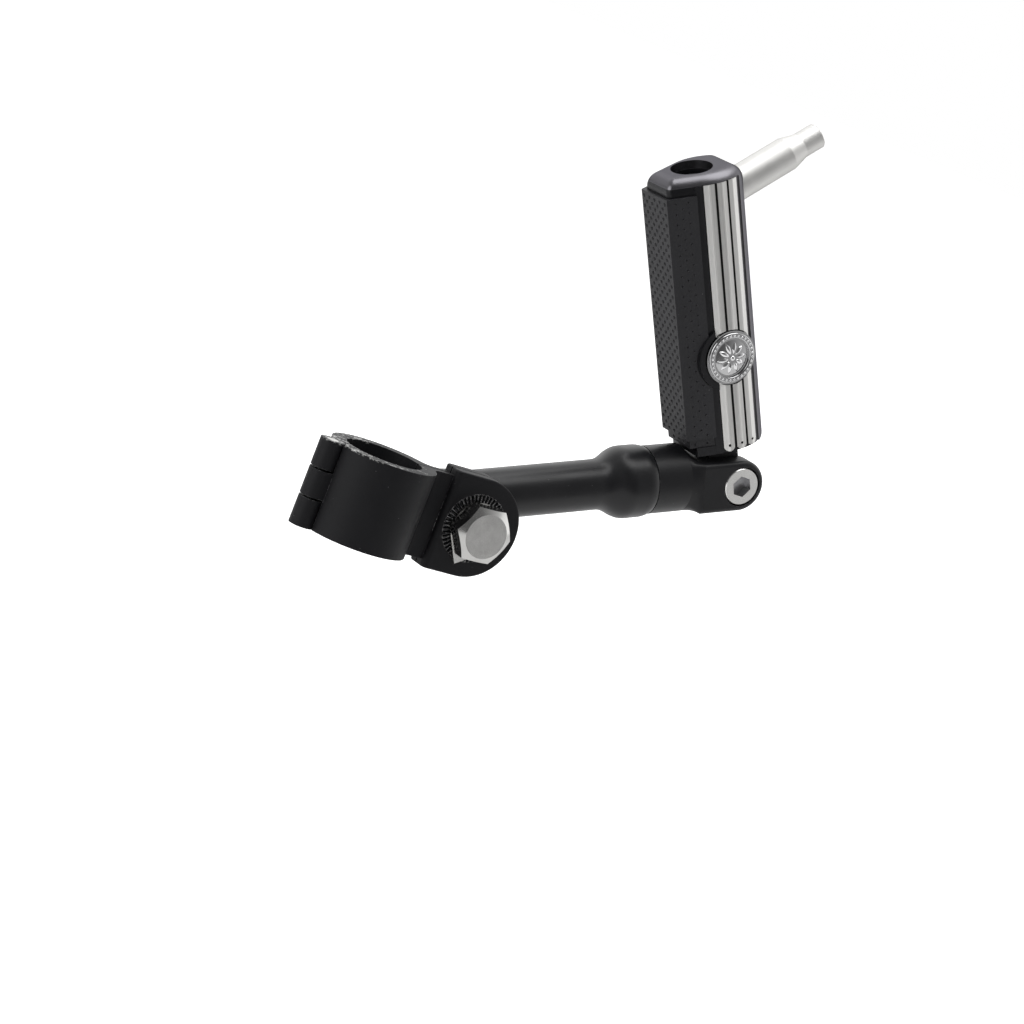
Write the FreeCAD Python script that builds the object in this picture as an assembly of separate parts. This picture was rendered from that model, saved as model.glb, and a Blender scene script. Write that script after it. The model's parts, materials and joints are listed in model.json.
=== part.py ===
import FreeCAD, Part
import math
import os
from FreeCAD import Placement, Rotation, Vector

# Highway footpeg with its mounting arm and a hinged clamp for a 1 1/4 inch tube.
# The frame: origin at the centre of the clamp's bore, +Z along the tube, +X towards the
# clamp bolt, -Y towards the side that the bolt head is on. All sizes are in millimetres.

# Clamp
TUBE_R = 15.875
CLAMP_WALL = 6.125
CLAMP_H = 36.0
SPLIT_GAP = 0.8
WEB_HALF = 3.2
WEB_FILLET = 5.0
EAR_START = 31.7
EAR_FACE = 6.0
EAR_R = 20.8
EAR_BULLNOSE = 2.4
EAR_EDGE = 0.8
BOLT_X = 48.0
HINGE_X = -24.3
KNUCKLE_R = 5.0
KNUCKLE_GAP = 0.4
HINGE_GAP = 0.8
PIN_R = 2.75
PIN_FIT = 0.05

# Clamp bolt and its plate washer
BOLT_R = 6.95
BOLT_CLEAR = 0.35
HEX_AF = 22.0
HEX_TURN = 1.7
HEAD_H = 8.6
HEAD_TOP_R = 9.25
PLATE_T = 1.8
PLATE_R = 11.3
PLATE_TURN = 31.0
BOLT_REACH = 27.0
THREAD_FIT = 0.05

# Serrations between the ears and the arm
TEETH = 48
TEETH_IN = 10.6
TEETH_OUT = 14.2
TOOTH_DEPTH = 1.25
TOOTH_SHARE = 0.42
MESH_GAP = 0.25

# Arm
ARM_ANGLE = 18.8
ARM_Y = 21.5
ARM_RISE = 3.5
BOSS_R = 15.0
BOSS_ROUND = 8.0
BOSS_BACK = 32.0
ROD_R = 10.6
BELL_END = 93.8
BELL_R = 15.3
BELL_EASE_L = 4.2
BELL_EASE_DROP = 0.9
BELL_STRAIGHT = 5.8
FLARE_L = 14.0

# Clevis
PIVOT_U = 134.7
PIVOT_DROP = 1.7
SEAM_GAP = 0.1
SPIGOT_R = 8.0
SPIGOT_L = 14.0
SPIGOT_FIT = 0.05
CLEVIS_R = 14.4
GROOVE_W = 0.4
GROOVE_DEPTH = 0.6
BLOCK_HALF_W = 14.5
BLOCK_HALF_H = 11.0
BLOCK_EDGE = 2.0
BLOCK_BACK = 18.8
FLARE_BACK = 24.5
SLOT_HALF = 5.6
SLOT_BACK = 12.5
M6_R = 3.0
M6_CLEAR = 0.2
M6_HEAD_R = 5.0
M6_HEAD_H = 6.0
M6_SINK_R = 5.3
M6_WASHER_T = 1.2
M6_GRIP = 10.0

# Pivot bolt and its washer
PIVOT_R = 5.0
PIVOT_FIT = 0.05
PIVOT_HEAD_R = 8.25
PIVOT_HEAD_H = 6.0
PIVOT_SINK_R = 8.6
PIVOT_SUNK = 0.15
PIVOT_SOCKET_AF = 8.2
PIVOT_SOCKET_TURN = 20.0
WAVE_T = 0.6
SIDE_GAP = 0.1

# Peg, in its own frame: X from the rubber face to the underside, Z along the peg
FOLD_UP = 102.05
EYE_X = 1.5
EYE_Z = -1.9
PEG_BASE = 15.5
PEG_TOP = 137.4
PEG_ROUND = 6.0
TRIM_BELOW = 3.6
FACE_X = -19.0
FACE_ROUND = 2.4
FLANK_TILT = 20.3
SIDE_HALF = 15.6
SIDE_CURVE = 20.0
CROWN_X = 2.6
UNDER_X = 16.5
UNDER_ROUND = 6.0
HEEL_ROUND = 6.5
HEEL_X = -16.0

# Rubber pad
PAD_FROM = 19.6
PAD_TO = 130.2
PAD_STEP = 4.3
PAD_PROUD = 1.5
PAD_IN = 1.5
PAD_LOW = -0.3
PAD_EDGE_X = -8.6
PAD_GAP = 0.1

# Trim on both sides of the peg
TRIM_IN = 3.6
CHANNEL_IN = 2.2
FRAME_IN = 0.8
LIP_IN = 0.1
LIP_W = 3.0
FRAME_SIDE = 9.6
FRAME_GAP = 0.1
BAR_GAP = 0.7
BAR_PITCH = 5.6
BAR_LOW = 16.0
BAR_EDGE_IN = 0.3
BAR_PEAK_OUT = 0.1
RIDGE_HALF = 0.35
PIT_R = 0.6
PIT_UP = 2.6

# Medallion
MEDAL_X = 0.6
MEDAL_Z = 57.6
MEDAL_R = 11.6
MEDAL_IN = 1.4
MEDAL_RING_GAP = 0.5
SWELL_R = 14.5
SWELL_IN = 0.7
MEDAL_EDGE_T = 1.3
MEDAL_RIM_T = 1.0
MEDAL_RIM_W = 2.4
MEDAL_CROWN = 1.2

# Peg core, its screw, and the wear peg under the outer end
TANG_R = 10.3
NECK_X0 = -8.0
NECK_X1 = 6.0
CORE_X = -2.0
FLANGE_X0 = -10.0
FLANGE_X1 = 8.0
FLANGE_HALF = 8.5
FLANGE_TOP = 22.0
CORE_R = 7.0
CORE_FIT = 0.05
MOUTH_DEPTH = 14.4
LEDGE_T = 4.0
END_HOLE_R = 8.75
M8_R = 4.0
M8_CLEAR = 0.3
M8_HEAD_R = 6.5
M8_HEAD_H = 8.0
M8_WASHER_R = 8.4
M8_WASHER_T = 1.6
M8_GRIP = 20.0
WEAR_Z = 124.5
WEAR_TILT = 15.3
WEAR_R = 7.3
WEAR_L = 44.0
WEAR_TIP_R = 5.5
WEAR_TIP_L = 9.3
WEAR_CONE_L = 7.0
WEAR_SUNK = 2.0
WEAR_STUD_L = 6.0
WEAR_FIT = 0.1

# Worked out from the sizes above
CLAMP_R = TUBE_R + CLAMP_WALL
HALF_GAP = SPLIT_GAP / 2
BOSS_FRONT = EAR_FACE + SIDE_GAP
CLEVIS_START = BELL_END + SEAM_GAP
SLOT_FLOOR = PIVOT_U - SLOT_BACK
TRIM_TOP = PEG_TOP - TRIM_BELOW
LEDGE_Z = PEG_TOP - MOUTH_DEPTH
CORE_TOP = LEDGE_Z - LEDGE_T
SIDE_C = SIDE_HALF - SIDE_CURVE
BAR_TURN = math.degrees(BAR_PITCH / SIDE_CURVE)
BAR_W = BAR_PITCH - BAR_GAP
FRAME_X1 = CROWN_X + FRAME_SIDE
SWELL_TOP = SIDE_HALF - SWELL_IN
MEDAL_Y = SIDE_HALF - MEDAL_IN
MEDAL_RING = MEDAL_R + MEDAL_RING_GAP
X = Vector(1, 0, 0)
Y = Vector(0, 1, 0)
Z = Vector(0, 0, 1)
ORIGIN = Vector(0, 0, 0)
AT_ARM = Placement(Vector(BOLT_X, 0, 0), Rotation(Y, -ARM_ANGLE))
AT_CLEVIS = AT_ARM.multiply(Placement(Vector(0, ARM_Y, ARM_RISE), Rotation()))
AT_PIVOT = AT_CLEVIS.multiply(Placement(Vector(PIVOT_U, 0, -PIVOT_DROP), Rotation()))
AT_EYE = AT_PIVOT.multiply(Placement(ORIGIN, Rotation(Y, 90.0 - FOLD_UP)))
AT_PEG = AT_EYE.multiply(Placement(Vector(-EYE_X, 0, -EYE_Z), Rotation()))
AT_WEAR = Placement(Vector(UNDER_X, 0, WEAR_Z), Rotation(Y, -WEAR_TILT))


def rod(radius, length, start, direction):
    """A cylinder from its start point along a direction."""
    return Part.makeCylinder(radius, length, start, direction)


def block(x0, x1, y0, y1, z0, z1):
    """A box between two corners."""
    return Part.makeBox(x1 - x0, y1 - y0, z1 - z0, Vector(x0, y0, z0))


def prism(points, direction):
    """A closed polygon pushed along a direction."""
    wire = Part.makePolygon(points + [points[0]])
    return Part.Face(wire).extrude(direction)


def hex_bar(across_flats, length, start, direction, turn=0.0):
    """A hexagonal bar from its start point along a direction."""
    radius = across_flats / math.sqrt(3)
    angles = [math.radians(60 * i + turn) for i in range(6)]
    corners = [Vector(radius * math.cos(a), radius * math.sin(a), 0) for a in angles]
    bar = prism(corners, Z * length)
    return moved(bar, Placement(start, Rotation(Z, direction)))


def moved(shape, placement):
    """A copy of a shape carried by a placement."""
    copy = shape.copy()
    copy.Placement = placement.multiply(copy.Placement)
    return copy


def mirrored(shape):
    """The shape's mirror image across the plane of X and Z."""
    return shape.mirror(ORIGIN, Y)


def edges_where(shape, test):
    """The edges whose middle point passes a test."""
    found = []
    for edge in shape.Edges:
        middle = edge.valueAt((edge.FirstParameter + edge.LastParameter) / 2)
        if test(middle, edge):
            found.append(edge)
    return found


def upright(edge):
    """True for a straight edge along Z."""
    if not isinstance(edge.Curve, Part.Line):
        return False
    return abs(edge.Curve.Direction.z) > 0.999


def line(a, b):
    """A straight edge between two points of the plane of X and Y."""
    return Part.makeLine(Vector(a[0], a[1], 0), Vector(b[0], b[1], 0))


def arc(a, b, c):
    """An arc through three points of the plane of X and Y."""
    points = [Vector(p[0], p[1], 0) for p in (a, b, c)]
    return Part.Arc(*points).toShape()


def turned(profile):
    """A closed profile of (along, radius) edges, turned about X."""
    return Part.Face(Part.Wire(profile)).revolve(ORIGIN, X, 360)


# Serrations

def tooth_ring(gap):
    """Tapered wedges about +Z pointing down, drawn back and shortened by a gap."""
    half = math.radians(360.0 / TEETH) * TOOTH_SHARE
    sections = []
    for radius in (TEETH_IN + gap, TEETH_OUT - gap):
        width = radius * math.tan(half)
        depth = TOOTH_DEPTH * radius / TEETH_OUT
        left = Vector(radius, -width, gap)
        right = Vector(radius, width, gap)
        tip = Vector(radius, 0, gap - depth)
        sections.append(Part.makePolygon([left, right, tip, left]))
    wedge = Part.makeLoft(sections, True, True)
    return [wedge.rotated(ORIGIN, Z, 360.0 * i / TEETH) for i in range(TEETH)]


def rear_teeth(gap):
    """The ring on the rear ear's outer face, in step with the arm, smaller by a gap."""
    at = AT_ARM.multiply(Placement(Vector(0, EAR_FACE, 0), Rotation(X, -90)))
    return [moved(wedge, at) for wedge in tooth_ring(gap)]


# Clamp halves, both built on the +Y side

def ear_outline():
    """The ear: square at the ring's side, round about the bolt."""
    thick = EAR_FACE - HALF_GAP
    slab = block(EAR_START, BOLT_X, HALF_GAP, EAR_FACE, -EAR_R, EAR_R)
    end = rod(EAR_R, thick, Vector(BOLT_X, HALF_GAP, 0), Y)
    end = end.common(block(BOLT_X, BOLT_X + EAR_R, 0, EAR_FACE, -EAR_R, EAR_R))
    return slab.fuse(end).removeSplitter()


def ear():
    """One ear with its bullnose towards the ring and its eased outer edge."""
    plate = ear_outline()
    outer = EAR_FACE - 0.01
    nose = edges_where(plate, lambda p, e: p.x < EAR_START + 0.01 and p.y > outer and upright(e))
    plate = plate.makeFillet(EAR_BULLNOSE, nose)
    clear = EAR_START + EAR_BULLNOSE + 0.1
    rim = edges_where(plate, lambda p, e: p.y > outer and p.x > clear)
    return plate.makeFillet(EAR_EDGE, rim)


def wall_and_web():
    """The curved wall and its web towards the ear, joined by a hollow curve."""
    wall = rod(CLAMP_R, CLAMP_H, Vector(0, 0, -CLAMP_H / 2), Z)
    wall = wall.common(block(-CLAMP_R, CLAMP_R, HALF_GAP, CLAMP_R, -CLAMP_H, CLAMP_H))
    web = block(TUBE_R, EAR_START + 3, HALF_GAP, WEB_HALF, -CLAMP_H / 2, CLAMP_H / 2)
    body = wall.fuse(web).removeSplitter()
    meet = math.sqrt(CLAMP_R ** 2 - WEB_HALF ** 2)
    corner = edges_where(body, lambda p, e: abs(p.x - meet) < 0.05 and p.y > WEB_HALF - 0.05 and upright(e))
    return body.makeFillet(WEB_FILLET, corner)


def knuckle(z0, z1):
    """One hinge knuckle with the neck that joins it to the wall."""
    barrel = rod(KNUCKLE_R, z1 - z0, Vector(HINGE_X, 0, z0), Z)
    neck = block(HINGE_X, HINGE_X + KNUCKLE_R, 0, KNUCKLE_R, z0, z1)
    return barrel.fuse(neck)


def hinge_band(number):
    """The lower and upper end of one of the hinge's three bands."""
    low = -CLAMP_H / 2 + number * CLAMP_H / 3
    return low, low + CLAMP_H / 3


def knuckle_room(number):
    """The round hollow that the other half's knuckle turns in."""
    z0, z1 = hinge_band(number)
    low = z0 - HINGE_GAP / 2
    high = z1 + HINGE_GAP / 2
    return rod(KNUCKLE_R + KNUCKLE_GAP, high - low, Vector(HINGE_X, 0, low), Z)


def clamp_half(knuckles, rooms):
    """A half with knuckles on some bands and room for the other half's on the rest."""
    body = wall_and_web().fuse(ear())
    trim = HINGE_GAP / 2
    for number in knuckles:
        z0, z1 = hinge_band(number)
        low = z0 if number == 0 else z0 + trim
        high = z1 if number == 2 else z1 - trim
        body = body.fuse(knuckle(low, high))
    tools = [rod(TUBE_R, 2 * CLAMP_H, Vector(0, 0, -CLAMP_H), Z)]
    for number in rooms:
        tools.append(knuckle_room(number))
    tools.append(rod(PIN_R + PIN_FIT, 2 * CLAMP_H, Vector(HINGE_X, 0, -CLAMP_H), Z))
    tools.append(rod(BOLT_R + BOLT_CLEAR, 4 * EAR_FACE, Vector(BOLT_X, -EAR_FACE, 0), Y))
    tools += rear_teeth(0.0)
    return body.cut(tools).removeSplitter()


def clamp_rear_half():
    return clamp_half([0, 2], [1])


def clamp_front_half():
    return mirrored(clamp_half([1], [0, 2]))


def clamp_hinge_pin():
    pin = rod(PIN_R, CLAMP_H, Vector(HINGE_X, 0, -CLAMP_H / 2), Z)
    return pin.makeChamfer(0.4, edges_where(pin, lambda p, e: isinstance(e.Curve, Part.Circle)))


# Clamp bolt, pointing along +Y

def clamp_bolt():
    """The hexagon head with its 30 degree chamfer, and the shank."""
    corner = HEX_AF / math.sqrt(3) + 0.2
    drop = (corner - HEAD_TOP_R) * math.tan(math.radians(30))
    seat = Vector(BOLT_X, -EAR_FACE - PLATE_T, 0)
    shoulder = HEAD_H - drop
    blank = rod(corner, shoulder, seat, -Y)
    blank = blank.fuse(Part.makeCone(corner, HEAD_TOP_R, drop, seat - Y * shoulder, -Y))
    head = hex_bar(HEX_AF, HEAD_H, seat, -Y, HEX_TURN).common(blank)
    shank = rod(BOLT_R, BOLT_REACH - seat.y, seat, Y)
    tip = edges_where(shank, lambda p, e: p.y > BOLT_REACH - 0.01)
    return head.fuse(shank.makeChamfer(1.0, tip)).removeSplitter()


def bolt_lock_plate():
    """The plate washer, round on one end and square on the other."""
    plate = rod(PLATE_R, PLATE_T, ORIGIN, -Y)
    plate = plate.fuse(block(-PLATE_R, PLATE_R, -PLATE_T, 0, -PLATE_R, 0)).removeSplitter()
    plate = plate.cut(rod(BOLT_R + BOLT_CLEAR, 2 * PLATE_T, ORIGIN, -Y))
    return moved(plate, Placement(Vector(BOLT_X, -EAR_FACE, 0), Rotation(Y, -PLATE_TURN)))


# Arm, built about the bolt axis with X along the arm

def arm_flare(x0, x1):
    """The S-shaped rise from the rod to the bell."""
    pull = (x1 - x0) * 0.45
    points = [(x0, ROD_R), (x0 + pull, ROD_R), (x1 - pull, BELL_R), (x1, BELL_R)]
    curve = Part.BezierCurve()
    curve.setPoles([Vector(x, r, 0) for x, r in points])
    return curve.toShape()


def arm_shaft():
    """The rod, its flare and the bell, turned about the arm's axis."""
    edge = BELL_END - BELL_EASE_L
    rise = edge - BELL_STRAIGHT
    foot = rise - FLARE_L
    inner = BELL_R - BELL_EASE_DROP
    bend = (BELL_EASE_L ** 2 + BELL_EASE_DROP ** 2) / (2 * BELL_EASE_DROP)
    half = math.asin(BELL_EASE_L / bend) / 2
    middle = (edge + bend * math.sin(half), BELL_R - bend * (1 - math.cos(half)))
    profile = [
        line((0, 0), (0, ROD_R)),
        line((0, ROD_R), (foot, ROD_R)),
        arm_flare(foot, rise),
        line((rise, BELL_R), (edge, BELL_R)),
        arc((edge, BELL_R), middle, (BELL_END, inner)),
        line((BELL_END, inner), (BELL_END, 0)),
        line((BELL_END, 0), (0, 0)),
    ]
    return moved(turned(profile), AT_CLEVIS)


def arm_boss():
    """The round boss that bears on the rear ear, its back edge well rounded."""
    boss = rod(BOSS_R, BOSS_BACK - BOSS_FRONT, Vector(0, BOSS_FRONT, 0), Y)
    back = edges_where(boss, lambda p, e: p.y > BOSS_BACK - 0.01)
    return moved(boss.makeFillet(BOSS_ROUND, back), AT_ARM)


def mount_arm():
    body = arm_boss().fuse([arm_shaft()] + rear_teeth(MESH_GAP))
    tapped = moved(rod(BOLT_R + THREAD_FIT, BOLT_REACH + 2, ORIGIN, Y), AT_ARM)
    mouth = Vector(BELL_END, 0, 0)
    depth = SPIGOT_L + 0.5
    socket = moved(rod(SPIGOT_R + SPIGOT_FIT, depth, mouth, -X), AT_CLEVIS)
    thread = moved(rod(M6_R + THREAD_FIT, depth + M6_GRIP + 2, mouth, -X), AT_CLEVIS)
    return body.cut([tapped, socket, thread]).removeSplitter()


# Clevis, built about the arm's axis with X along it

def round_section(x):
    """The clevis's round section, split where the block's corners begin and end."""
    angles = []
    flat_y = BLOCK_HALF_W - BLOCK_EDGE
    flat_z = BLOCK_HALF_H - BLOCK_EDGE
    first = math.atan2(flat_z, BLOCK_HALF_W)
    second = math.atan2(BLOCK_HALF_H, flat_y)
    for start in (0.0, math.pi):
        angles += [start + first, start + second, start + math.pi - second, start + math.pi - first]
    edges = []
    for i, begin in enumerate(angles):
        end = angles[(i + 1) % 8]
        if end < begin:
            end += 2 * math.pi
        turns = (begin, (begin + end) / 2, end)
        points = [Vector(x, CLEVIS_R * math.cos(a), CLEVIS_R * math.sin(a)) for a in turns]
        edges.append(Part.Arc(*points).toShape())
    return Part.Wire(edges)


def square_section(x):
    """The block's section with its rounded corners, starting at the same corner."""
    edges = []
    corners = [(1, 1), (-1, 1), (-1, -1), (1, -1)]
    flat_y = BLOCK_HALF_W - BLOCK_EDGE
    flat_z = BLOCK_HALF_H - BLOCK_EDGE
    bend = BLOCK_EDGE * math.sqrt(0.5)
    last = None
    for sy, sz in corners:
        on_side = Vector(x, sy * BLOCK_HALF_W, sz * flat_z - PIVOT_DROP)
        on_top = Vector(x, sy * flat_y, sz * BLOCK_HALF_H - PIVOT_DROP)
        middle = Vector(x, sy * (flat_y + bend), sz * (flat_z + bend) - PIVOT_DROP)
        begin, end = (on_side, on_top) if sy * sz > 0 else (on_top, on_side)
        if last:
            edges.append(Part.makeLine(last, begin))
        edges.append(Part.Arc(begin, middle, end).toShape())
        last = end
    edges.append(Part.makeLine(last, edges[0].valueAt(edges[0].FirstParameter)))
    return Part.Wire(edges)


def fork_block():
    """The block that the ears are cut from, round about the pivot."""
    back = PIVOT_U - BLOCK_BACK
    slab = block(back, PIVOT_U, -BLOCK_HALF_W, BLOCK_HALF_W, -BLOCK_HALF_H, BLOCK_HALF_H)
    end = rod(BLOCK_HALF_H, 2 * BLOCK_HALF_W, Vector(PIVOT_U, -BLOCK_HALF_W, 0), Y)
    shape = slab.fuse(end).removeSplitter()
    side = BLOCK_HALF_W - 0.01
    rim = edges_where(shape, lambda p, e: abs(p.y) > side and p.x > back + 0.1)
    return shape.makeFillet(BLOCK_EDGE, rim).translated(Z * -PIVOT_DROP)


def clevis():
    flare_at = PIVOT_U - FLARE_BACK
    neck_end = CLEVIS_START + GROOVE_W
    body = rod(CLEVIS_R, flare_at - neck_end, Vector(neck_end, 0, 0), X)
    waist = rod(CLEVIS_R - GROOVE_DEPTH, GROOVE_W, Vector(CLEVIS_START, 0, 0), X)
    spigot = rod(SPIGOT_R, SPIGOT_L, Vector(CLEVIS_START, 0, 0), -X)
    flare = Part.makeLoft([round_section(flare_at), square_section(PIVOT_U - BLOCK_BACK)], True, True)
    body = body.fuse([waist, spigot, flare, fork_block()])
    wide = 2 * BLOCK_HALF_W
    slot = block(SLOT_FLOOR, PIVOT_U + wide, -SLOT_HALF, SLOT_HALF, -wide, wide)
    floor = Vector(SLOT_FLOOR, 0, 0)
    sink = rod(M6_SINK_R, M6_HEAD_H + M6_WASHER_T + 0.3, floor, -X)
    hole = rod(M6_R + M6_CLEAR, PIVOT_U, floor, -X)
    pivot = rod(PIVOT_R + PIVOT_FIT, 2 * wide, Vector(PIVOT_U, -wide, -PIVOT_DROP), Y)
    outer = Vector(PIVOT_U, -BLOCK_HALF_W, -PIVOT_DROP)
    head = rod(PIVOT_SINK_R, PIVOT_HEAD_H + PIVOT_SUNK, outer, Y)
    body = body.cut([slot, sink, hole, pivot, head]).removeSplitter()
    return moved(body, AT_CLEVIS)


def clevis_screw_seat():
    """Where the washer of the clevis's screw bears."""
    return SLOT_FLOOR - M6_HEAD_H - M6_WASHER_T - 0.3


def clevis_screw():
    under = clevis_screw_seat() + M6_WASHER_T
    head = rod(M6_HEAD_R, M6_HEAD_H, Vector(under, 0, 0), X)
    tip = BELL_END - SPIGOT_L - M6_GRIP
    shank = rod(M6_R, under - tip, Vector(tip, 0, 0), X)
    socket = hex_bar(5.0, 3.0, Vector(under + M6_HEAD_H, 0, 0), -X)
    return moved(head.fuse(shank).cut(socket).removeSplitter(), AT_CLEVIS)


def clevis_screw_washer():
    seat = Vector(clevis_screw_seat(), 0, 0)
    ring = rod(M6_HEAD_R, M6_WASHER_T, seat, X)
    return moved(ring.cut(rod(M6_R + M6_CLEAR, 2 * M6_WASHER_T, seat, X)), AT_CLEVIS)


# Pivot hardware, built about the pivot axis

def pivot_bolt():
    outer = Vector(0, -BLOCK_HALF_W + PIVOT_SUNK, 0)
    head = rod(PIVOT_HEAD_R, PIVOT_HEAD_H, outer, Y)
    head = head.makeChamfer(0.5, edges_where(head, lambda p, e: p.y < outer.y + 0.01))
    shank = rod(PIVOT_R, BLOCK_HALF_W - 0.5 - outer.y, outer, Y)
    socket = hex_bar(PIVOT_SOCKET_AF, 4.2, outer, Y, PIVOT_SOCKET_TURN)
    return moved(head.fuse(shank).cut(socket).removeSplitter(), AT_PIVOT)


def pivot_wave_washer():
    """A spring washer pressed flat between the tang and the far ear."""
    start = Vector(0, SLOT_HALF - SIDE_GAP - WAVE_T, 0)
    ring = rod(TANG_R - 1.5, WAVE_T, start, Y)
    ring = ring.cut(rod(PIVOT_R + 0.2, 2 * WAVE_T, start, Y))
    return moved(ring, AT_PIVOT)


# Peg, built in its own frame about the pivot

def side_point(angle, inset):
    """A point of the curved side, by its angle from the crown."""
    reach = SIDE_CURVE - inset
    turn = math.radians(angle)
    return CROWN_X + reach * math.sin(turn), SIDE_C + reach * math.cos(turn)


def under_centre():
    """The middle of the round between side and underside, and its angle from the crown."""
    x = UNDER_X - UNDER_ROUND
    reach = SIDE_CURVE - UNDER_ROUND
    y = SIDE_C + math.sqrt(reach ** 2 - (x - CROWN_X) ** 2)
    return x, y, math.degrees(math.asin((x - CROWN_X) / reach))


def peg_outline(inset):
    """The section or its parallel: face, slanted flanks, curved sides, rounded underside."""
    x, y, turn = under_centre()
    small = UNDER_ROUND - inset
    middle = math.radians((90 + turn) / 2)
    face_x = FACE_X + inset
    top_x, top_y = side_point(-FLANK_TILT, inset)
    corner = (face_x, top_y - (top_x - face_x) * math.tan(math.radians(FLANK_TILT)))
    bend = (x + small * math.sin(middle), y + small * math.cos(middle))
    half = [
        [corner, (top_x, top_y)],
        [(top_x, top_y), side_point(0.0, inset), side_point(turn, inset)],
        [side_point(turn, inset), bend, (x + small, y)],
    ]
    edges = []
    for side in (1, -1):
        for points in half:
            run = [(px, py * side) for px, py in points]
            edges.append(line(*run) if len(run) == 2 else arc(*run))
    edges.append(line((x + small, y), (x + small, -y)))
    edges.append(line(corner, (corner[0], -corner[1])))
    return Part.Wire(Part.__sortEdges__(edges))


def peg_prism(inset, z0, z1):
    """The section, inset or grown, from one height to another."""
    prism_form = Part.Face(peg_outline(inset)).extrude(Z * (z1 - z0))
    return prism_form.translated(Z * z0)


def peg_form():
    """The peg's outer form before anything is cut in it, its outer end rounded."""
    form = peg_prism(0.0, PEG_BASE, PEG_TOP)
    corners = edges_where(form, lambda p, e: p.x < FACE_X + 0.01 and upright(e))
    form = form.makeFillet(FACE_ROUND, corners)
    rim = edges_where(form, lambda p, e: p.z > PEG_TOP - 0.01)
    return form.makeFillet(PEG_ROUND, rim)


def layer(outer, inner, x0, x1, z0, z1):
    """The space between two parallels of the section."""
    skin = peg_prism(-outer, z0, z1).cut(peg_prism(-inner, z0, z1))
    return skin.common(block(x0, x1, -2 * SIDE_HALF, 2 * SIDE_HALF, z0, z1))


def one_side(shape):
    """The part of a shape on the +Y side."""
    wide = 2 * SIDE_HALF
    return shape.common(block(-wide, wide, 0, wide, 0, 2 * PEG_TOP))


def pad_band(outer, inner, edge_x, z0, z1):
    """A band round the face and flanks between two parallels."""
    return layer(outer, inner, 2 * FACE_X, edge_x, z0, z1)


def pad_seat():
    """The space in the body that the pad lies in."""
    return pad_band(6.0, -PAD_IN, PAD_EDGE_X, PAD_FROM - PAD_GAP, PAD_TO + PAD_GAP)


def swelling(radius, y0, y1):
    """A disc about the medallion, from one depth to another."""
    return rod(radius, y1 - y0, Vector(MEDAL_X, y0, MEDAL_Z), Y)


def peg_pad():
    edge = PAD_EDGE_X - PAD_GAP
    step = PAD_FROM + PAD_STEP
    pad = pad_band(PAD_PROUD, -PAD_IN, edge, step, PAD_TO)
    pad = pad.fuse(pad_band(PAD_LOW, -PAD_IN, edge, PAD_FROM, step)).removeSplitter()
    room = swelling(SWELL_R + PAD_GAP, 0, 2 * SIDE_HALF)
    pad = pad.cut([room, mirrored(room)])
    return moved(pad.removeSplitter(), AT_PEG)


def swelling_form(grow):
    """The raised disc behind the medallion, on the pad's side of the crown only."""
    wide = 2 * SIDE_HALF
    disc = swelling(SWELL_R + grow, 0, SWELL_TOP)
    half = block(-wide, CROWN_X, 0, wide, 0, PEG_TOP)
    floor = peg_prism(TRIM_IN, PEG_BASE, PEG_TOP)
    return disc.common(half).cut(floor)


def pedestal():
    """What carries the medallion on the underside's half, where the side falls away."""
    disc = swelling(MEDAL_R, 0, MEDAL_Y)
    half = block(CROWN_X, FRAME_X1, 0, MEDAL_Y, 0, PEG_TOP)
    return disc.common(half).cut(peg_prism(TRIM_IN, PEG_BASE, PEG_TOP))


def trim_frame():
    """The black frame: channels for the bars, a lip along the pad, a seat for the medallion."""
    low = PEG_BASE + FRAME_GAP
    high = TRIM_TOP - FRAME_GAP
    plate = one_side(layer(-FRAME_IN, -TRIM_IN, PAD_EDGE_X, FRAME_X1, low, high))
    lip = one_side(layer(-LIP_IN, -TRIM_IN, PAD_EDGE_X, PAD_EDGE_X + LIP_W, low, high))
    disc = swelling_form(0.0)
    on_flank = disc.common(pad_seat())
    on_side = disc.common(block(PAD_EDGE_X, CROWN_X, 0, SWELL_TOP, low, high))
    plate = plate.fuse([lip, on_side, on_flank, pedestal()]).removeSplitter()
    tools = [swelling(MEDAL_RING, MEDAL_Y, SIDE_HALF * 2), heel_round()]
    for number in (-1, 0, 1):
        tools.append(bar_plan(number, FRAME_GAP, SIDE_HALF * 2))
    return plate.cut(tools).removeSplitter()


def beside_crown(shape, number):
    """A shape built at the crown, turned about the side's middle to a bar's place."""
    return shape.rotated(Vector(CROWN_X, SIDE_C, 0), Z, -number * BAR_TURN)


def bar_plan(number, grow, top):
    """One bar's plan: round at its lower end, square at the top."""
    half = BAR_W / 2 + grow
    low = BAR_LOW + BAR_W / 2
    base = SIDE_HALF - CHANNEL_IN
    strip = block(CROWN_X - half, CROWN_X + half, base, top, low, TRIM_TOP - FRAME_GAP)
    end = rod(half, top - base, Vector(CROWN_X, base, low), Y)
    return beside_crown(strip.fuse(end).removeSplitter(), number)


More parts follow.
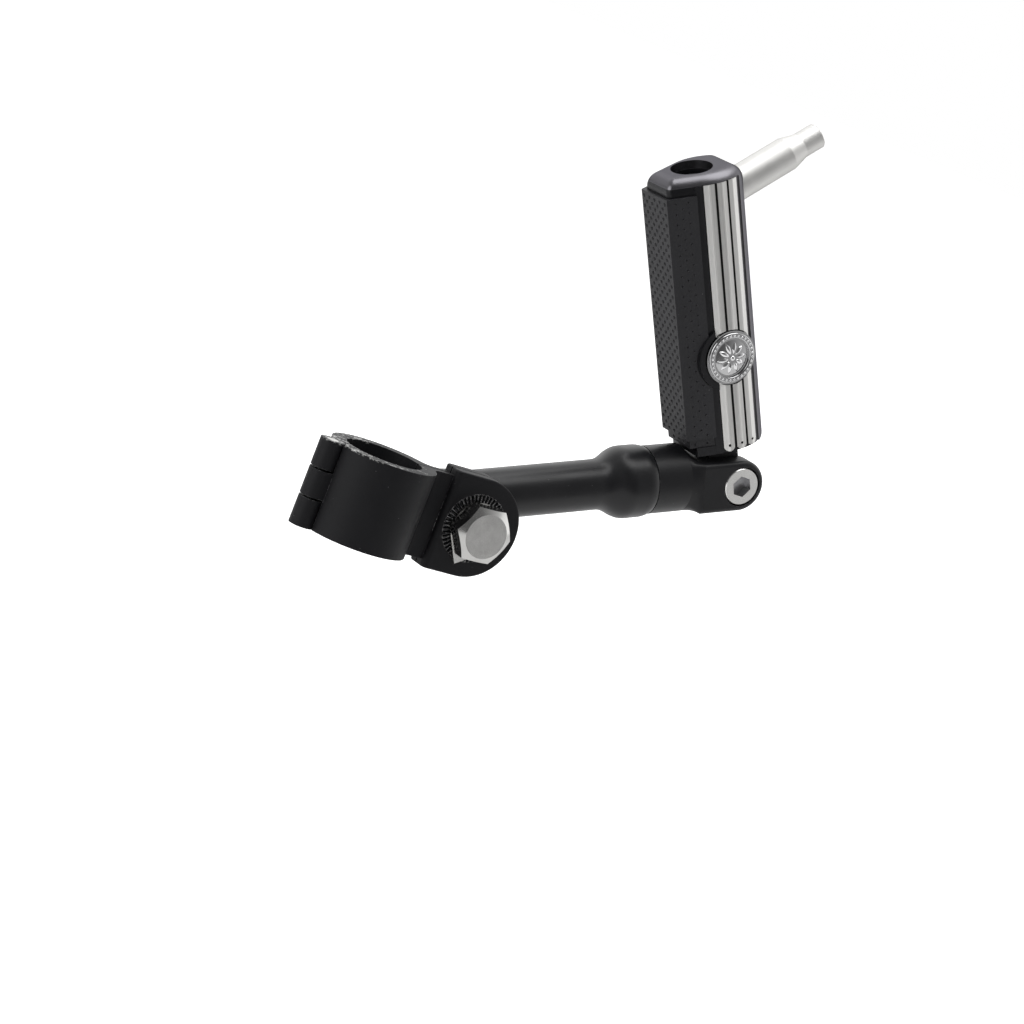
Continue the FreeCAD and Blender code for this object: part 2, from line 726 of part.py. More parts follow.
def rib_bar(number):
    """A bar with a ridge along its middle and a small pit near its round end."""
    half = BAR_W / 2
    base = SIDE_HALF - CHANNEL_IN
    edge = SIDE_HALF - BAR_EDGE_IN
    peak = SIDE_HALF + BAR_PEAK_OUT
    section = [
        Vector(CROWN_X - half, base, 0),
        Vector(CROWN_X + half, base, 0),
        Vector(CROWN_X + half, edge, 0),
        Vector(CROWN_X + RIDGE_HALF, peak, 0),
        Vector(CROWN_X - RIDGE_HALF, peak, 0),
        Vector(CROWN_X - half, edge, 0),
    ]
    pit = rod(PIT_R, 2.0, Vector(CROWN_X, edge - 0.5, BAR_LOW + PIT_UP), Y)
    cuts = beside_crown(prism(section, Z * PEG_TOP), number)
    bar = bar_plan(number, 0.0, peak).common(cuts)
    ring = swelling(MEDAL_RING, MEDAL_Y, SIDE_HALF * 2)
    return bar.cut([ring, beside_crown(pit, number)])


def medallion():
    """A round badge with a raised rim and a plain domed centre."""
    edge = MEDAL_Y + MEDAL_EDGE_T
    rim = edge + MEDAL_RIM_T
    disc = swelling(MEDAL_R, MEDAL_Y, edge)
    ring = swelling(MEDAL_R - 0.8, edge, rim)
    ring = ring.cut(swelling(MEDAL_R - 0.8 - MEDAL_RIM_W, edge, rim))
    top = edges_where(ring, lambda p, e: p.y > rim - 0.01)
    ring = ring.makeFillet(0.7, top)
    inner = MEDAL_R - 1.6 - MEDAL_RIM_W
    ball_r = (inner ** 2 + MEDAL_CROWN ** 2) / (2 * MEDAL_CROWN)
    ball = Part.makeSphere(ball_r, Vector(MEDAL_X, edge + MEDAL_CROWN - ball_r, MEDAL_Z))
    cap = ball.common(swelling(inner, edge - 0.2, rim))
    return disc.fuse([ring, cap]).removeSplitter()


def wear_peg():
    """The plain round peg under the outer end, seated in the body by its stud."""
    back = -WEAR_SUNK - WEAR_STUD_L
    tip = WEAR_L - WEAR_TIP_L
    neck = tip - WEAR_CONE_L
    profile = [
        line((back, 0), (back, M8_R)),
        line((back, M8_R), (-WEAR_SUNK, M8_R)),
        line((-WEAR_SUNK, M8_R), (-WEAR_SUNK, WEAR_R)),
        line((-WEAR_SUNK, WEAR_R), (neck, WEAR_R)),
        line((neck, WEAR_R), (tip, WEAR_TIP_R)),
        line((tip, WEAR_TIP_R), (WEAR_L - 0.5, WEAR_TIP_R)),
        line((WEAR_L - 0.5, WEAR_TIP_R), (WEAR_L, WEAR_TIP_R - 0.5)),
        line((WEAR_L, WEAR_TIP_R - 0.5), (WEAR_L, 0)),
        line((WEAR_L, 0), (back, 0)),
    ]
    return moved(turned(profile), AT_PEG.multiply(AT_WEAR))


def trim_pocket():
    """The recess that the frame is let into, open at the peg's base."""
    x0 = PAD_EDGE_X - FRAME_GAP
    x1 = FRAME_X1 + FRAME_GAP
    pocket = one_side(layer(6.0, -TRIM_IN, x0, x1, 0, TRIM_TOP))
    return [pocket, swelling_form(FRAME_GAP)]


def wear_seat():
    """The spot face and threaded hole for the wear peg."""
    spot = rod(WEAR_R + WEAR_FIT, 30, Vector(-WEAR_SUNK, 0, 0), X)
    stud = rod(M8_R + THREAD_FIT, 30, Vector(-WEAR_SUNK - WEAR_STUD_L - 0.3, 0, 0), X)
    return [moved(spot, AT_WEAR), moved(stud, AT_WEAR)]


def heel_round():
    """What is taken off to round the underside's low corner."""
    wide = 2 * SIDE_HALF
    x = UNDER_X - HEEL_ROUND
    z = PEG_BASE + HEEL_ROUND
    corner = block(x, UNDER_X + 1, -wide, wide, PEG_BASE - 1, z)
    return corner.cut(rod(HEEL_ROUND, 2 * wide, Vector(x, -wide, z), Y))


def heel_cuts():
    """Clears the peg's low end under the pad, and rounds its underside's corner."""
    wide = 2 * SIDE_HALF
    under_pad = block(2 * FACE_X, HEEL_X, -wide, wide, 0, PAD_FROM - PAD_GAP)
    return [under_pad, heel_round()]


def core_space():
    """The bore for the core, the recess for its flange, and the screw's hole and mouth."""
    on_axis = Vector(CORE_X, 0, 0)
    half = FLANGE_HALF + FRAME_GAP
    gap = FRAME_GAP
    recess = block(FLANGE_X0 - gap, FLANGE_X1 + gap, -half, half, 0, FLANGE_TOP + gap)
    bore = rod(CORE_R + CORE_FIT, CORE_TOP + 0.5, on_axis, Z)
    hole = rod(M8_R + M8_CLEAR, PEG_TOP, on_axis, Z)
    mouth = rod(END_HOLE_R, PEG_TOP, on_axis + Z * LEDGE_Z, Z)
    return [recess, bore, hole, mouth]


def peg_body():
    tools = [pad_seat()]
    for pocket in trim_pocket():
        tools += [pocket, mirrored(pocket)]
    tools += heel_cuts() + core_space() + wear_seat()
    return moved(peg_form().cut(tools).removeSplitter(), AT_PEG)


def peg_core():
    """The tang with its eye, the flange in the body's base, and the long round stem."""
    y0 = -SLOT_HALF + SIDE_GAP
    y1 = SLOT_HALF - 2 * SIDE_GAP - WAVE_T
    eye = rod(TANG_R, y1 - y0, Vector(EYE_X, y0, EYE_Z), Y)
    neck = block(NECK_X0, NECK_X1, y0, y1, EYE_Z, PEG_BASE + 1)
    flange = block(FLANGE_X0, FLANGE_X1, -FLANGE_HALF, FLANGE_HALF, PEG_BASE, FLANGE_TOP)
    stem = rod(CORE_R, CORE_TOP - FLANGE_TOP + 1, Vector(CORE_X, 0, FLANGE_TOP - 1), Z)
    body = eye.fuse([neck, flange, stem])
    pivot = rod(PIVOT_R + PIVOT_FIT, 2 * BLOCK_HALF_W, Vector(EYE_X, -BLOCK_HALF_W, EYE_Z), Y)
    tapped = rod(M8_R + THREAD_FIT, M8_GRIP + 2, Vector(CORE_X, 0, CORE_TOP), -Z)
    return moved(body.cut([pivot, tapped]).removeSplitter(), AT_PEG)


def peg_end_screw():
    under = LEDGE_Z + M8_WASHER_T
    top = under + M8_HEAD_H
    head = rod(M8_HEAD_R, M8_HEAD_H, Vector(CORE_X, 0, under), Z)
    head = head.makeChamfer(0.6, edges_where(head, lambda p, e: p.z > top - 0.01))
    tip = CORE_TOP - M8_GRIP
    shank = rod(M8_R, under - tip, Vector(CORE_X, 0, tip), Z)
    socket = hex_bar(6.0, 4.0, Vector(CORE_X, 0, top), -Z)
    return moved(head.fuse(shank).cut(socket).removeSplitter(), AT_PEG)


def peg_end_washer():
    start = Vector(CORE_X, 0, LEDGE_Z)
    ring = rod(M8_WASHER_R, M8_WASHER_T, start, Z)
    return moved(ring.cut(rod(M8_R + M8_CLEAR, 2 * M8_WASHER_T, start, Z)), AT_PEG)


def build():
    """Every node's shape by its name."""
    nodes = {
        "clamp_rear_half": clamp_rear_half(),
        "clamp_front_half": clamp_front_half(),
        "clamp_hinge_pin": clamp_hinge_pin(),
        "clamp_bolt": clamp_bolt(),
        "bolt_lock_plate": bolt_lock_plate(),
        "mount_arm": mount_arm(),
        "clevis": clevis(),
        "clevis_screw": clevis_screw(),
        "clevis_screw_washer": clevis_screw_washer(),
        "pivot_bolt": pivot_bolt(),
        "pivot_wave_washer": pivot_wave_washer(),
        "peg_core": peg_core(),
        "peg_body": peg_body(),
        "peg_pad": peg_pad(),
        "peg_end_screw": peg_end_screw(),
        "peg_end_washer": peg_end_washer(),
        "wear_peg": wear_peg(),
    }
    pieces = {"trim_frame": trim_frame(), "medallion": medallion()}
    for number in (-1, 0, 1):
        pieces["rib_bar_%d" % (number + 2)] = rib_bar(number)
    for name, shape in pieces.items():
        nodes[name + "_rear"] = moved(shape, AT_PEG)
        nodes[name + "_front"] = moved(mirrored(shape), AT_PEG)
    return nodes


def main():
    os.makedirs("parts", exist_ok=True)
    for name, shape in build().items():
        shape.exportStep("parts/%s.step" % name)


if __name__ == "__main__":
    main()
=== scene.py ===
import json
import math

import bmesh
import bpy
from mathutils import Matrix, Vector
from mathutils.bvhtree import BVHTree


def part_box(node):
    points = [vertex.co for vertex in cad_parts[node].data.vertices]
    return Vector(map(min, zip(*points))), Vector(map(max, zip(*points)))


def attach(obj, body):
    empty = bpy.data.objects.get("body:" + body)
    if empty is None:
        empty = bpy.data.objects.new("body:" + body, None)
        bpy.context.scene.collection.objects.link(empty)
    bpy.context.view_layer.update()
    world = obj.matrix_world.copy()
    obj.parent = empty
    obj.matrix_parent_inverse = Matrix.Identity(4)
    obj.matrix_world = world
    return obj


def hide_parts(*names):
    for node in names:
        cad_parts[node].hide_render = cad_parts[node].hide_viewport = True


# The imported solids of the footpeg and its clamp. All lengths are in metres.
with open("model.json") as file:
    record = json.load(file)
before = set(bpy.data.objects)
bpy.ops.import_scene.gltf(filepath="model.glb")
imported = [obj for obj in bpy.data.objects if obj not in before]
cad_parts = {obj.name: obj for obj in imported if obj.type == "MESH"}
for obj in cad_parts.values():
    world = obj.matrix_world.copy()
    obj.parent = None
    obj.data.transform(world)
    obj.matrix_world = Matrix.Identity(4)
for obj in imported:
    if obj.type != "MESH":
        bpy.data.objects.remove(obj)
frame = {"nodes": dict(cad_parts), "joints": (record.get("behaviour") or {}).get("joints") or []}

bl_info = {
    "name": "Folding footpeg with tube clamp",
    "version": (1, 0, 0),
    "blender": (4, 5, 0),
    "location": "3D View > Sidebar > Footpeg",
    "description": "Finishes and fine detail for the footpeg, its arm and its clamp",
    "category": "Object",
}

NODES = frame["nodes"]
JOINTS = {joint["name"]: joint for joint in frame["joints"]}
PIVOT = Vector(JOINTS["peg_fold"]["pos_m"])
ARM_AXIS = Vector(JOINTS["clevis_turn"]["axis"])
FOLD = math.radians(JOINTS["peg_fold"]["range_deg"][1])
BOLT_CENTRE = Vector(JOINTS["arm_index"]["pos_m"])
BOLT_AXIS = (0, 1, 0)

# The peg's own frame: X from the rubber face to the underside, Z along the peg
PEG_ALONG = Matrix.Rotation(-FOLD, 3, "Y") @ ARM_AXIS
PEG_DOWN = Matrix.Rotation(math.pi / 2, 3, "Y") @ PEG_ALONG
PEG_FRAME = Matrix.Translation(PIVOT) @ Matrix((
    (PEG_DOWN.x, 0, PEG_ALONG.x, 0),
    (PEG_DOWN.y, 1, PEG_ALONG.y, 0),
    (PEG_DOWN.z, 0, PEG_ALONG.z, 0),
    (0, 0, 0, 1),
))
PEG_LEAN = math.atan2(PEG_ALONG.x, PEG_ALONG.z)
WEAR_SLANT = math.radians(15.3)

# The pad's pits: their columns on face and flanks, a flank's slope, its first column and the
# distance between two, the first row, and the flat room that a pit needs round it
FACE_COLUMNS = range(-4, 5)
FLANK_COLUMNS = range(3)
FLANK_SLANT = math.radians(20.3)
FLANK_FIRST = 0.0037
FLANK_PITCH = 0.0026
FIRST_ROW = 0.0016
PIT_MARGIN = 0.0002

# A pit's cone: its sides, and the radius of its blunt point
PIT_SIDES = 8
PIT_POINT = 0.00002

# Rays that find the pad's surface: their start above it, their reach, and what counts as flat
PROBE_HEIGHT = 0.005
PROBE_REACH = 0.012
FLAT_WITHIN = 0.00004

# Points this close to the pad's face belong to it, and doubled points this close are joined
FACE_WITHIN = 0.0001
WELD_WITHIN = 0.000002

# The curve that the ribbed bars lie on, the arc between two bars, and their peak above it
SIDE_CURVE = 0.020
RIB_PITCH = 0.0056
RIB_PEAK = 0.0001

# The pivot bolt's socket: from its axis to a corner, how far under the head's face its dark
# starts, and over which depth it deepens; that dark is painted shade in the recess
SOCKET_RADIUS = 0.0049
SOCKET_FROM = 0.0003
SOCKET_BAND = 0.0004

# A badge's relief in shares of the badge's radius
BEAD_CIRCLE = 0.825
BEAD_SIZE = 0.042
HUB_SIZE = 0.1
PETAL_START = 0.16
PETAL_LENGTH = 0.44
PETAL_WIDTH = 0.105

# A bead's height as a share of its width, and how far from a badge's middle its rays start
BEAD_FLAT = 0.8
BADGE_PROBE = 0.02

# A petal: its steps, how full its outline is (less is fuller), its ridge's rise, and the share
# of that rise halfway to its edge
PETAL_STEPS = 9
PETAL_FULLNESS = 0.8
PETAL_RISE = 0.00055
PETAL_SHOULDER = 0.55

# How far a petal's edges are let into the badge, and its least half width and least rise
LET_IN = 0.0002
PETAL_LEAST = 0.00002


# Sizes and colours that a user would change

class FootpegFinish(bpy.types.PropertyGroup):
    """Colours and amounts of the footpeg's finishes."""

    paint_colour: bpy.props.FloatVectorProperty(
        name="Paint", description="Colour of the satin paint on clamp, arm and clevis",
        subtype="COLOR", size=3, min=0, max=1, default=(0.0075, 0.0075, 0.0087))
    smoke_colour: bpy.props.FloatVectorProperty(
        name="Smoke", description="Colour of the peg body's smoky plating",
        subtype="COLOR", size=3, min=0, max=1, default=(0.15, 0.147, 0.158))
    rubber_colour: bpy.props.FloatVectorProperty(
        name="Rubber", description="Colour of the pad", subtype="COLOR", size=3,
        min=0, max=1, default=(0.0145, 0.0143, 0.0166))
    steel_colour: bpy.props.FloatVectorProperty(
        name="Steel", description="Colour of the bare steel parts", subtype="COLOR",
        size=3, min=0, max=1, default=(0.66, 0.655, 0.64))
    chip_amount: bpy.props.FloatProperty(
        name="Chips", description="Share of the ring's upper rim that has lost its paint",
        subtype="FACTOR", min=0, max=1, default=0.5)
    edge_wear: bpy.props.FloatProperty(
        name="Edge wear", description="How much the painted edges are rubbed",
        subtype="FACTOR", min=0, max=1, default=0.25)
    dust: bpy.props.FloatProperty(
        name="Dust", description="Amount of fine pale specks on the paint",
        subtype="FACTOR", min=0, max=1, default=0.3)


class FootpegDetail(bpy.types.PropertyGroup):
    """Sizes of the fine detail on the pad and the badges."""

    pit_columns: bpy.props.FloatProperty(
        name="Pit columns", description="Distance between two columns of pits across the pad",
        subtype="DISTANCE", unit="LENGTH", default=0.00205)
    pit_rows: bpy.props.FloatProperty(
        name="Pit rows", description="Distance between two pits along a column",
        subtype="DISTANCE", unit="LENGTH", default=0.00445)
    pit_radius: bpy.props.FloatProperty(
        name="Pit radius", description="Radius of a pit at the surface of the pad's face",
        subtype="DISTANCE", unit="LENGTH", default=0.0009)
    flank_pit_radius: bpy.props.FloatProperty(
        name="Flank pit radius", description="Radius of a pit at the surface of the pad's flanks",
        subtype="DISTANCE", unit="LENGTH", default=0.00045)
    petals: bpy.props.IntProperty(
        name="Petals", description="Number of petals in a badge's rosette", default=10, min=3)
    beads: bpy.props.IntProperty(
        name="Beads", description="Number of beads round a badge's rim", default=32, min=3)


def finish_values():
    return bpy.context.scene.footpeg_finish


def detail_values():
    return bpy.context.scene.footpeg_detail


# Node trees

class Tree:
    """Builds nodes in a material's or a group's tree with few words."""

    def __init__(self, tree):
        self.tree = tree

    def node(self, kind, **settings):
        made = self.tree.nodes.new(kind)
        for key, value in settings.items():
            setattr(made, key, value)
        return made

    def feed(self, socket, value):
        """Links a socket to an output, or sets it to a plain value."""
        if isinstance(value, bpy.types.NodeSocket):
            self.tree.links.new(value, socket)
        elif value is not None:
            socket.default_value = value

    def math(self, operation, first, second=None, third=None, clamp=False):
        made = self.node("ShaderNodeMath", operation=operation, use_clamp=clamp)
        for socket, value in zip(made.inputs, (first, second, third)):
            self.feed(socket, value)
        return made.outputs[0]

    def blend(self, share, first, second):
        """A colour that goes from first to second with share."""
        made = self.node("ShaderNodeMix", data_type="RGBA")
        self.feed(made.inputs["Factor"], share)
        self.feed(made.inputs[6], first)
        self.feed(made.inputs[7], second)
        return made.outputs[2]

    def span(self, value, low, high, to_low=0.0, to_high=1.0):
        """A value mapped from one range to another, kept inside it."""
        made = self.node("ShaderNodeMapRange")
        for socket, part in zip(made.inputs, (value, low, high, to_low, to_high)):
            self.feed(socket, part)
        return made.outputs[0]

    def noise(self, vector, scale, detail=3.0, rough=0.5):
        made = self.node("ShaderNodeTexNoise")
        self.feed(made.inputs["Vector"], vector)
        self.feed(made.inputs["Scale"], scale)
        self.feed(made.inputs["Detail"], detail)
        self.feed(made.inputs["Roughness"], rough)
        return made.outputs["Fac"]

    def bump(self, height, distance, strength=1.0, normal=None):
        made = self.node("ShaderNodeBump")
        self.feed(made.inputs["Height"], height)
        self.feed(made.inputs["Distance"], distance)
        self.feed(made.inputs["Strength"], strength)
        self.feed(made.inputs["Normal"], normal)
        return made.outputs[0]

    def turn(self, vector, angles):
        """A vector turned about X, Y and Z."""
        made = self.node("ShaderNodeMapping", vector_type="POINT")
        self.feed(made.inputs["Vector"], vector)
        self.feed(made.inputs["Rotation"], angles)
        return made.outputs[0]

    def split(self, vector):
        made = self.node("ShaderNodeSeparateXYZ")
        self.feed(made.inputs[0], vector)
        return made.outputs

    def join(self, *parts):
        """A vector made of up to three parts."""
        made = self.node("ShaderNodeCombineXYZ")
        for socket, part in zip(made.inputs, parts):
            self.feed(socket, part)
        return made.outputs[0]

    def product(self, first, second):
        return self.math("MULTIPLY", first, second)

    def hypotenuse(self, first, second):
        """The length of a vector with two parts."""
        squares = self.math("ADD", self.product(first, first), self.product(second, second))
        return self.math("SQRT", squares)

    def vector_math(self, operation, *parts):
        made = self.node("ShaderNodeVectorMath", operation=operation)
        for socket, part in zip(made.inputs, parts):
            self.feed(socket, part)
        return made.outputs

    def offset(self, vector, point):
        """A vector measured from a point."""
        return self.vector_math("SUBTRACT", vector, point)[0]

    def along(self, vector, direction):
        """How far a vector reaches along a direction."""
        return self.vector_math("DOT_PRODUCT", vector, direction)["Value"]

    def here(self):
        """The surface point in the piece's own coordinates, which are the row's."""
        return self.node("ShaderNodeTexCoord").outputs["Object"]

    def use(self, group, **values):
        """A group placed in this tree with its own values."""
        made = self.node("ShaderNodeGroup")
        made.node_tree = group
        for name, value in values.items():
            self.feed(made.inputs[name], value)
        return made.outputs


def new_group(name, inputs, outputs):
    """An empty shader group with named sockets, with its inner input and output nodes."""
    group = bpy.data.node_groups.new(name, "ShaderNodeTree")
    for title, kind, default in inputs:
        socket = group.interface.new_socket(title, in_out="INPUT", socket_type=kind)
        if default is not None:
            socket.default_value = default
    for title, kind in outputs:
        group.interface.new_socket(title, in_out="OUTPUT", socket_type=kind)
    tree = Tree(group)
    return group, tree, tree.node("NodeGroupInput").outputs, tree.node("NodeGroupOutput").inputs


FLOAT = "NodeSocketFloat"
VECTOR = "NodeSocketVector"

# How far the rounded normal turns from the plain one where wear starts and is full, as cosines
EDGE_START = 0.995
EDGE_FULL = 0.9


def edge_wear_group():
    """Where edges are rubbed: a thin broken band along the convex edges."""
    group, t, given, out = new_group(
        "rubbed_edges",
        [("Vector", VECTOR, None), ("Width", FLOAT, 0.0005), ("Amount", FLOAT, 0.3)],
        [("Mask", FLOAT)])
    rounded = t.node("ShaderNodeBevel", samples=4)
    t.feed(rounded.inputs["Radius"], given["Width"])
    plain = t.node("ShaderNodeNewGeometry").outputs["Normal"]
    edge = t.span(t.along(rounded.outputs[0], plain), EDGE_START, EDGE_FULL)
    broken = t.span(t.noise(given["Vector"], 900.0, 4.0, 0.65), 0.42, 0.62)
    t.feed(out["Mask"], t.product(t.product(edge, broken), given["Amount"]))
    return group


def grain_group():
    """The fine uneven skin of paint or rubber, and a slow change of tone."""
    group, t, given, out = new_group(
        "fine_grain",
        [("Vector", VECTOR, None), ("Scale", FLOAT, 1500.0)],
        [("Height", FLOAT), ("Tone", FLOAT)])
    t.feed(out["Height"], t.noise(given["Vector"], given["Scale"], 2.0, 0.5))
    t.feed(out["Tone"], t.noise(given["Vector"], 60.0, 3.0, 0.6))
    return group


def specks_group():
    """Sparse tiny specks, such as dust."""
    group, t, given, out = new_group(
        "specks",
        [("Vector", VECTOR, None), ("Scale", FLOAT, 700.0), ("Amount", FLOAT, 0.3)],
        [("Mask", FLOAT)])
    cells = t.node("ShaderNodeTexVoronoi", feature="F1")
    t.feed(cells.inputs["Vector"], given["Vector"])
    t.feed(cells.inputs["Scale"], given["Scale"])
    dots = t.span(cells.outputs["Distance"], 0.13, 0.07)
    share = t.product(given["Amount"], 0.3)
    chosen = t.math("LESS_THAN", t.split(cells.outputs["Color"])[0], share)
    t.feed(out["Mask"], t.product(dots, chosen))
    return group


def brushing_group():
    """Fine scratches along the vector's Z."""
    group, t, given, out = new_group(
        "brushing",
        [("Vector", VECTOR, None), ("Scale", FLOAT, 2500.0), ("Stretch", FLOAT, 0.02)],
        [("Height", FLOAT), ("Tone", FLOAT)])
    x, y, z = t.split(given["Vector"])
    stretched = t.join(x, y, t.product(z, given["Stretch"]))
    t.feed(out["Height"], t.noise(stretched, given["Scale"], 3.0, 0.6))
    t.feed(out["Tone"], t.noise(stretched, t.product(given["Scale"], 0.25), 2.0, 0.5))
    return group


def smears_group():
    """The uneven smears that hands leave on bright metal."""
    group, t, given, out = new_group(
        "smears",
        [("Vector", VECTOR, None), ("Scale", FLOAT, 120.0)],
        [("Tone", FLOAT)])
    t.feed(out["Tone"], t.noise(given["Vector"], given["Scale"], 4.0, 0.6))
    return group


def turned_rings_group():
    """Faint rings about an axis, and a point's distance from it and place along it."""
    group, t, given, out = new_group(
        "turned_rings",
        [("Vector", VECTOR, None), ("Centre", VECTOR, None), ("Axis", VECTOR, None),
         ("Scale", FLOAT, 2400.0)],
        [("Height", FLOAT), ("Radius", FLOAT), ("Along", FLOAT)])
    offset = t.offset(given["Vector"], given["Centre"])
    along = t.along(offset, given["Axis"])
    length = t.vector_math("LENGTH", offset)["Value"]
    squares = t.math("SUBTRACT", t.product(length, length), t.product(along, along))
    radius = t.math("SQRT", t.math("MAXIMUM", squares, 0.0))
    t.feed(out["Height"], t.noise(t.join(radius, along), given["Scale"], 2.0, 0.6))
    t.feed(out["Radius"], radius)
    t.feed(out["Along"], along)
    return group


GROUPS = {}


def shared(name, build):
    """A node group, built the first time that it is asked for."""
    if name not in GROUPS:
        GROUPS[name] = build()
    return GROUPS[name]


def new_material(name):
    """A material with its shader: (material, tree, shader's inputs)."""
    material = bpy.data.materials.new(name)
    material.use_nodes = True
    tree = Tree(material.node_tree)
    return material, tree, material.node_tree.nodes["Principled BSDF"].inputs


def four(colour, factor):
    """A colour times a factor, with the fourth part that a colour socket takes."""
    return tuple(part * factor for part in colour) + (1.0,)


def dress(material, *names):
    """Gives CAD nodes a material."""
    for name in names:
        slots = NODES[name].data.materials
        slots.clear()
        slots.append(material)


# Finishes

# How far the teeth round the clamp bolt reach, and the band over which their bright edges end;
# that brightness is partly crest wear and partly painted glints on the teeth
TOOTH_REACH = 0.017
TOOTH_BAND = 0.0005

# Where the paint of the ring's upper rim is chipped: the rise to it, the radius from its
# outside to its inside, and X from the bolt to the hinge
RIM_HEIGHTS = (0.0172, 0.0178)
RIM_RADII = (0.0238, 0.0160)
RIM_ACROSS = (0.018, -0.020)

# The band over which one coat of the peg gives way to the next, and how far inside the last
# bar's edge the black turns grey, as painted light on the shaded channel beside that bar
COAT_BAND = 0.0002
CHANNEL_LIGHT_BEFORE = 0.0015

# The hinge pin's bright end, as depths under its end face
PIN_END = (0.0003, 0.0001)

# The ribbed bars' steel: how far under their curve it starts, and in shares of the arc between
# two bars, where it ends at a gap and where the last bar's outer flank begins. Below it and at
# the gaps the bars are dark, as painted shade
BAR_FEET = (0.0006, 0.0004)
GAP_EDGE = (0.09, 0.11)
LAST_FLANK = (1.3, 1.35)

# How far from a bar's middle its rolled ridge, and the painted highlight along it, fades out
RIDGE_BAND = (0.0002, 0.0005)


def toned(t, tone, colour, low, high):
    """A colour that goes with tone from low to high times itself."""
    return t.blend(tone, four(colour, low), four(colour, high))


def dusted(t, here, colour, scale, share, speck):
    """A colour with sparse specks of dust on it."""
    dust = t.use(shared("specks", specks_group), Vector=here, Scale=scale,
                 Amount=finish_values().dust)["Mask"]
    return t.blend(t.product(dust, share), colour, speck)


def rubbed_edges(t, here, width, amount):
    return t.use(shared("edge", edge_wear_group), Vector=here, Width=width, Amount=amount)["Mask"]


def fine_grain(t, here, scale):
    return t.use(shared("grain", grain_group), Vector=here, Scale=scale)


def smears(t, here, scale):
    return t.use(shared("smears", smears_group), Vector=here, Scale=scale)["Tone"]


def painted(name, roughness, gloss, rubbed, chips=False):
    """Satin black paint with fine grain, rubbed edges and a little dust.

    gloss is how much it reflects, and rubbed multiplies the wear of its edges.
    """
    values = finish_values()
    material, t, shader = new_material(name)
    here = t.here()
    grain = fine_grain(t, here, 1700.0)
    worn = rubbed_edges(t, here, 0.0004, values.edge_wear * rubbed)
    colour = toned(t, grain["Tone"], values.paint_colour, 0.85, 1.2)
    colour = t.blend(worn, colour, (0.18, 0.18, 0.185, 1))
    colour = dusted(t, here, colour, 650.0, 0.4, (0.2, 0.2, 0.21, 1))
    rough = t.span(grain["Tone"], 0.3, 0.7, roughness - 0.04, roughness + 0.05)
    normal = t.bump(grain["Height"], 0.00002, 0.35)
    if chips:
        # Lighter tooth crests round the bolt: partly crest wear, partly painted glints on the teeth
        x, y, z = t.split(t.offset(here, BOLT_CENTRE))
        toothed = t.span(t.hypotenuse(x, z), TOOTH_REACH + TOOTH_BAND, TOOTH_REACH)
        crest_wear_and_glints = t.product(t.product(worn, toothed), 2.0)
        colour = t.blend(crest_wear_and_glints, colour, (0.5, 0.5, 0.5, 1))
        chip, bare = chipped_rim(t, here, values.chip_amount)
        colour = t.blend(chip, colour, bare)
        t.feed(shader["Metallic"], t.product(chip, 0.75))
        rough = t.math("ADD", rough, t.product(chip, -0.1))
        normal = t.bump(t.math("SUBTRACT", 1.0, chip), 0.0002, 0.7, normal)
    t.feed(shader["Base Color"], colour)
    t.feed(shader["Roughness"], rough)
    t.feed(shader["Normal"], normal)
    shader["Specular IOR Level"].default_value = gloss
    return material


def chipped_rim(t, here, amount):
    """Broken paint on the ring's upper rim, most of it towards the hinge: mask and colour."""
    x, y, z = t.split(here)
    top = t.span(z, *RIM_HEIGHTS)
    inside = t.span(t.hypotenuse(x, y), *RIM_RADII)
    hinge_side = t.span(x, *RIM_ACROSS)
    weight = t.math("ADD", t.product(inside, 0.05), t.product(hinge_side, 0.20))
    level = t.math("SUBTRACT", 0.78 - 0.14 * amount, weight)
    broken = t.span(t.math("SUBTRACT", t.noise(here, 420.0, 4.0, 0.62), level), 0.0, 0.02)
    tone = t.span(t.noise(here, 900.0, 3.0, 0.7), 0.38, 0.62)
    bare = t.blend(tone, (0.03, 0.03, 0.03, 1), (0.5, 0.5, 0.49, 1))
    return t.product(broken, top), bare


def hinge_steel(name, half_length):
    """The hinge pin: bright ends, and dark between them as painted shade between the knuckles."""
    values = finish_values()
    material, t, shader = new_material(name)
    here = t.here()
    height = t.math("ABSOLUTE", t.split(here)[2])
    end = t.span(height, *(half_length - depth for depth in PIN_END))
    smear = smears(t, here, 500.0)
    bright = toned(t, smear, values.steel_colour, 0.5, 1.2)
    # Painted shade: dark between the bright ends, where the pin sits between the knuckles
    t.feed(shader["Base Color"], t.blend(end, (0.02, 0.02, 0.02, 1), bright))
    shader["Metallic"].default_value = 1.0
    t.feed(shader["Roughness"], t.span(smear, 0.3, 0.7, 0.3, 0.45))
    return material


def peg_measure(t, here, direction):
    """How far a point lies from the pivot along one of the peg's directions."""
    return t.math("SUBTRACT", t.along(here, direction), PIVOT.dot(direction))


